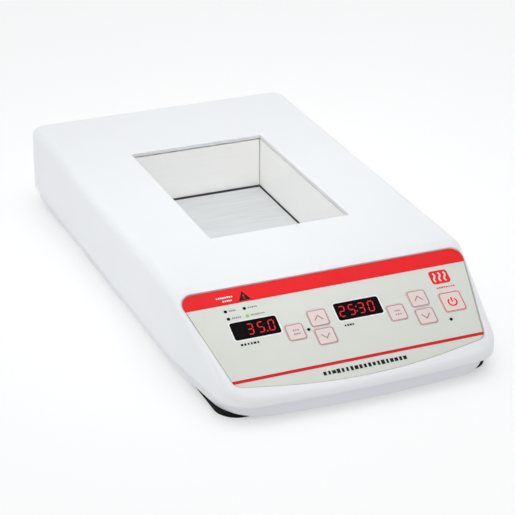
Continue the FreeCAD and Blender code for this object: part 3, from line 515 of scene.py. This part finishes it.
for kind in ("temp", "time"):
    for part, way in (("up", 1), ("down", -1), ("on_off", 0)):
        name = f"{kind}_{part}_key"
        centre, outlines = keyOutline(name)
        if way:
            outlines.append(chevron(centre, way))
        printed(f"{kind}_{part}_print", outlines, "duskyInk", body=name, lift=keyTop)
centre, outlines = keyOutline("standby_key")
arc = []
for i in range(standby["steps"] + 1):
    angle = math.radians(90 + standby["gap"] + (360 - 2 * standby["gap"]) * i / standby["steps"])
    arc.append((centre.x + standby["radius"] * math.cos(angle),
                centre.y - standby["down"] + standby["radius"] * math.sin(angle)))
outlines += [stroke(arc, standby["line"]),
             roundedRect(centre.x, centre.y + standby["barUp"], standby["line"], standby["barHeight"],
                         standby["corner"])]
printed("standby_print", outlines, "redInk", body="standby_key", lift=keyTop)
print("keys:", len(wearing["keyFilm"]))


# ---- rows of small marks where the panel has captions, made with Geometry Nodes
def newTree(name, sizes):
    tree = bpy.data.node_groups.new(name, "GeometryNodeTree")
    tree.interface.new_socket("Geometry", in_out="INPUT", socket_type="NodeSocketGeometry")
    for label, kind, value in sizes:
        socket = tree.interface.new_socket(label, in_out="INPUT", socket_type=f"NodeSocket{kind}")
        if value is not None:
            socket.default_value = value
    tree.interface.new_socket("Geometry", in_out="OUTPUT", socket_type="NodeSocketGeometry")
    return tree, tree.nodes.new("NodeGroupInput"), tree.nodes.new("NodeGroupOutput")


def endTree(tree, place, given, out):
    # instances made real, then the given material
    real = addNode(tree, "GeometryNodeRealizeInstances")
    paint = addNode(tree, "GeometryNodeSetMaterial")
    tree.links.new(place.outputs[0], real.inputs[0])
    tree.links.new(real.outputs[0], paint.inputs[0])
    tree.links.new(given.outputs["Material"], paint.inputs["Material"])
    tree.links.new(paint.outputs[0], out.inputs[0])


def randomBetween(tree, low, high, seed):
    node = addNode(tree, "FunctionNodeRandomValue", data_type="FLOAT")
    for socket, value in ((2, low), (3, high), ("Seed", seed)):
        feed(tree, node.inputs[socket], value)
    return node.outputs[1]


def buildMarkTree():
    tree, given, out = newTree("markRow", [("Length", "Float", 8.0), ("Height", "Float", 1.2),
                                           ("Count", "Int", 5), ("Thickness", "Float", inkThick),
                                           ("Seed", "Int", 1), ("Material", "Material", None)])
    link = tree.links.new
    pitch = mathNode(tree, "DIVIDE", given.outputs["Length"], given.outputs["Count"])
    row = addNode(tree, "GeometryNodeMeshLine", mode="OFFSET")
    link(given.outputs["Count"], row.inputs["Count"])
    link(vectorNode(tree, pitch, 0.0, 0.0), row.inputs["Offset"])
    # shares of the pitch and of the height
    width = randomBetween(tree, 0.5, 0.86, given.outputs["Seed"])
    tall = randomBetween(tree, 0.72, 1.0, mathNode(tree, "ADD", given.outputs["Seed"], 7))
    bar = addNode(tree, "GeometryNodeMeshCube")
    scale = vectorNode(tree, mathNode(tree, "MULTIPLY", pitch, width),
                       mathNode(tree, "MULTIPLY", given.outputs["Height"], tall), given.outputs["Thickness"])
    place = addNode(tree, "GeometryNodeInstanceOnPoints")
    link(row.outputs[0], place.inputs["Points"])
    link(bar.outputs[0], place.inputs["Instance"])
    link(scale, place.inputs["Scale"])
    endTree(tree, place, given, out)
    return tree


def grow(name, tree, values, points=((0, 0, 0),)):
    # the plain mesh that a Geometry Nodes tree makes from some points
    seedMesh = bpy.data.meshes.new(name)
    seedMesh.from_pydata([tuple(p) for p in points], [], [])
    carrier = bpy.data.objects.new(name, seedMesh)
    bpy.context.scene.collection.objects.link(carrier)
    modifier = carrier.modifiers.new("grow", "NODES")
    modifier.node_group = tree
    for item in tree.interface.items_tree:
        if item.in_out == "INPUT" and item.name in values:
            modifier[item.identifier] = values[item.name]
    bpy.context.view_layer.update()
    mesh = bpy.data.meshes.new_from_object(carrier.evaluated_get(bpy.context.evaluated_depsgraph_get()))
    mesh.name = name
    bpy.data.objects.remove(carrier)
    piece = bpy.data.objects.new(name, mesh)
    bpy.context.scene.collection.objects.link(piece)
    return piece


markTree = buildMarkTree()
captions = [
    # name, left end, level, length, height, marks, ink, body, lift
    ("power_caption", -71.0, -16.5, 4.6, 1.3, 4, "greyInk", "body", 0.0),
    ("heat_caption", -58.2, -16.5, 6.4, 1.3, 5, "greyInk", "body", 0.0),
    ("timer_caption", -71.0, -22.2, 6.6, 1.3, 5, "greyInk", "body", 0.0),
    ("ready_caption", -58.0, -22.2, 9.6, 1.3, 7, "greyInk", "body", 0.0),
    ("temp_caption", -72.5, -42.6, 13.0, 1.7, 6, "blackInk", "body", 0.0),
    ("time_caption", -1.6, -42.9, 7.2, 1.7, 4, "blackInk", "body", 0.0),
    ("panel_caption", -28.8, -74.1, 58.5, 3.3, 19, "blackInk", "body", 0.0),
    ("symbol_caption", 70.4, -28.6, 13.4, 1.3, 8, "redInk", "body", 0.0),
    ("caution_caption_top", -76.2, -6.2, 11.5, 1.2, 8, "whiteInk", "body", 0.06),
    ("caution_caption_low", -72.6, -8.9, 6.6, 1.2, 5, "whiteInk", "body", 0.06),
]
keyCaption = dict(lines=((4.4, 1.3), (4.8, -1.5)), shift=0.5, height=1.2, marks=3)  # lines: length, rise
for kind in ("temp", "time"):
    key = onPanel(f"{kind}_on_off_key") / mm
    for row, (length, rise) in enumerate(keyCaption["lines"]):
        captions.append((f"{kind}_on_off_caption_{row + 1}", key.x - length / 2 + keyCaption["shift"],
                         key.y + rise, length, keyCaption["height"], keyCaption["marks"], "duskyInk",
                         f"{kind}_on_off_key", keyTop))
firstSeed = 3
markLift = 0.02
for seed, (name, x, y, length, height, count, ink, body, lift) in enumerate(captions):
    row = grow(name, markTree, {"Length": length, "Height": height, "Count": count, "Seed": seed + firstSeed,
                                "Material": finishes[ink]})
    place = Matrix.Translation((x + length / count / 2, y, lift + markLift))
    row.data.transform(panelMatrix @ Matrix.Scale(mm, 4) @ place)
    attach(row, body)
print("captions:", len(captions))


# ---- screws
def buildScrewTree():
    tree, given, out = newTree("crossScrew", [("Head Radius", "Float", 2.8), ("Head Height", "Float", 1.8),
                                              ("Shank Radius", "Float", 1.4), ("Shank Length", "Float", 8.0),
                                              ("Slot", "Float", 0.7), ("Material", "Material", None)])
    link = tree.links.new
    dome = addNode(tree, "GeometryNodeMeshUVSphere", {"Segments": 28, "Rings": 16})
    dome.inputs["Radius"].default_value = 1.0
    squashed = addNode(tree, "GeometryNodeTransform")
    link(dome.outputs[0], squashed.inputs["Geometry"])
    headRadius, headHeight = given.outputs["Head Radius"], given.outputs["Head Height"]
    link(vectorNode(tree, headRadius, headRadius, headHeight), squashed.inputs["Scale"])
    flat = addNode(tree, "GeometryNodeSetPosition")
    here = addNode(tree, "GeometryNodeInputPosition")
    parts = addNode(tree, "ShaderNodeSeparateXYZ")
    link(here.outputs[0], parts.inputs[0])
    level = mathNode(tree, "MAXIMUM", parts.outputs["Z"], 0.0)
    link(squashed.outputs[0], flat.inputs["Geometry"])
    link(vectorNode(tree, parts.outputs["X"], parts.outputs["Y"], level), flat.inputs["Position"])
    cuts = []
    for turn in (0, 1):  # the two arms of the cross
        blade = addNode(tree, "GeometryNodeMeshCube")
        armLength = mathNode(tree, "MULTIPLY", headRadius, 1.1)
        sizes = (armLength, given.outputs["Slot"]) if turn else (given.outputs["Slot"], armLength)
        link(vectorNode(tree, *sizes, headHeight), blade.inputs["Size"])
        lift = addNode(tree, "GeometryNodeTransform")
        link(blade.outputs[0], lift.inputs["Geometry"])
        slotLevel = mathNode(tree, "MULTIPLY", headHeight, 0.95)
        link(vectorNode(tree, 0.0, 0.0, slotLevel), lift.inputs["Translation"])
        cuts.append(lift)
    recess = addNode(tree, "GeometryNodeMeshBoolean", operation="DIFFERENCE")
    link(flat.outputs[0], recess.inputs["Mesh 1"])
    for cut in cuts:
        link(cut.outputs[0], recess.inputs["Mesh 2"])
    shank = addNode(tree, "GeometryNodeMeshCylinder", {"Vertices": 20})
    link(given.outputs["Shank Radius"], shank.inputs["Radius"])
    link(given.outputs["Shank Length"], shank.inputs["Depth"])
    drop = addNode(tree, "GeometryNodeTransform")
    link(shank.outputs[0], drop.inputs["Geometry"])
    link(vectorNode(tree, 0.0, 0.0, mathNode(tree, "MULTIPLY", given.outputs["Shank Length"], -0.5)),
         drop.inputs["Translation"])
    join = addNode(tree, "GeometryNodeJoinGeometry")
    link(recess.outputs[0], join.inputs[0])
    link(drop.outputs[0], join.inputs[0])
    place = addNode(tree, "GeometryNodeInstanceOnPoints")
    link(given.outputs["Geometry"], place.inputs["Points"])
    link(join.outputs[0], place.inputs["Instance"])
    endTree(tree, place, given, out)
    return tree


def islands(node):
    # lowest and highest corners of each separate solid of a CAD node
    copy = bmesh.new()
    copy.from_mesh(nodes[node].data)
    bmesh.ops.remove_doubles(copy, verts=copy.verts, dist=1e-6)
    left = set(copy.verts)
    boxes = []
    while left:
        stack = [left.pop()]
        found = []
        while stack:
            vert = stack.pop()
            found.append(vert.co.copy())
            for edge in vert.link_edges:
                other = edge.other_vert(vert)
                if other in left:
                    left.remove(other)
                    stack.append(other)
        boxes.append((Vector([min(c[i] for c in found) for i in range(3)]),
                      Vector([max(c[i] for c in found) for i in range(3)])))
    copy.free()
    return sorted(boxes, key=lambda b: tuple(round(v, 5) for v in b[0]))


screwTree = buildScrewTree()
# sizes in millimetres; turn points the head out, and side is 1 where the heads are at the far end of the axis
screwGroups = {
    "foot_screws": dict(head=1.2, radius=2.8, shank=1.45, slot=0.6, turn=180, axis="Z", side=0),
    "base_screws": dict(head=1.8, radius=2.8, shank=1.35, slot=0.7, turn=180, axis="Z", side=0),
    "inlet_screws": dict(head=1.2, radius=2.55, shank=1.4, slot=0.6, turn=-90, axis="Y", side=1),
}
for node, size in screwGroups.items():
    places = islands(node)
    along = "XYZ".index(size["axis"])
    low, high = places[0]
    length = (high[along] - low[along]) / mm - size["head"]
    points = []
    turn = Matrix.Rotation(math.radians(size["turn"]), 4, "X")
    for low, high in places:
        seat = (low + high) / 2
        seat[along] = high[along] - size["head"] * mm if size["side"] else low[along] + size["head"] * mm
        points.append(turn.inverted() @ seat / mm)
    piece = grow(node + "_cross", screwTree,
                 {"Head Radius": size["radius"], "Head Height": size["head"], "Shank Radius": size["shank"],
                  "Shank Length": length, "Slot": size["slot"], "Material": finishes["zincScrew"]}, points)
    piece.data.transform(turn @ Matrix.Scale(mm, 4))
    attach(piece, "body")
    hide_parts(node)
print("screw groups:", len(screwGroups))

# ---- floor, light and camera
floorMesh = bpy.data.meshes.new("studio_floor")
reach = 6.0
corners = [(-reach, -reach, 0), (reach, -reach, 0), (reach, reach, 0), (-reach, reach, 0)]
floorMesh.from_pydata(corners, [], [(0, 1, 2, 3)])
floor = bpy.data.objects.new("studio_floor", floorMesh)
bpy.context.scene.collection.objects.link(floor)
floorMesh.materials.append(finishes["studioFloor"])

studio = dict(sky=(0.975, 0.985, 1.0), behindCamera=0.54, behindHeater=0.98)
world = bpy.data.worlds.new("studio")
bpy.context.scene.world = world
world.use_nodes = True
sky = world.node_tree
direction = addNode(sky, "ShaderNodeTexCoord")
axes = addNode(sky, "ShaderNodeSeparateXYZ")
sky.links.new(direction.outputs["Generated"], axes.inputs[0])
sky.links.new(spread(sky, axes.outputs["Y"], studio["behindCamera"], studio["behindHeater"], -1.0, 1.0),
              sky.nodes["Background"].inputs["Strength"])
sky.nodes["Background"].inputs["Color"].default_value = (*studio["sky"], 1)
lamps = {
    "overhead": dict(place=(0.1, -0.1, 1.2), aim=(0, 0, 0), size=1.0, power=3.7, colour=(1, 1, 1),
                     cone=180),
    "leftFill": dict(place=(-1.6, 0.1, 0.75), aim=(0, 0, 0.03), size=1.0, power=1.8,
                     colour=(0.97, 0.985, 1.0), cone=180),
    "wellFill": dict(place=(-0.42, -0.62, 0.85), aim=(0.01, 0.04, 0.04), size=0.2, power=0.08,
                     colour=(1.0, 0.995, 0.98), cone=26),
}
for name, lamp in lamps.items():
    data = bpy.data.lights.new(name, "AREA")
    data.size = lamp["size"]
    data.energy = lamp["power"]
    data.color = lamp["colour"]
    data.spread = math.radians(lamp["cone"])
    light = bpy.data.objects.new(name, data)
    light.location = lamp["place"]
    light.rotation_euler = (Vector(lamp["aim"]) - Vector(lamp["place"])).to_track_quat("-Z", "Y").to_euler()
    bpy.context.scene.collection.objects.link(light)

view = dict(place=(-0.4796, -1.1095, 0.6046), heading=23.52, tilt=-25.96, roll=0.74, lens=134.1)
heading, tilt, roll = (math.radians(view[k]) for k in ("heading", "tilt", "roll"))
ahead = Vector((math.sin(heading) * math.cos(tilt), math.cos(heading) * math.cos(tilt), math.sin(tilt)))
right = Vector((math.cos(heading), -math.sin(heading), 0))
up = right.cross(ahead)
rightRolled = right * math.cos(roll) + up * math.sin(roll)
upRolled = up * math.cos(roll) - right * math.sin(roll)
cameraData = bpy.data.cameras.new("camera")
cameraData.lens = view["lens"]
cameraData.clip_start = 0.01
camera = bpy.data.objects.new("camera", cameraData)
camera.matrix_world = Matrix.Translation(view["place"]) @ Matrix(
    (rightRolled, upRolled, -ahead)).transposed().to_4x4()
bpy.context.scene.collection.objects.link(camera)
bpy.context.scene.camera = camera
bpy.context.scene.view_settings.view_transform = "Standard"
print("floor, light and camera: done")

bpy.context.view_layer.update()
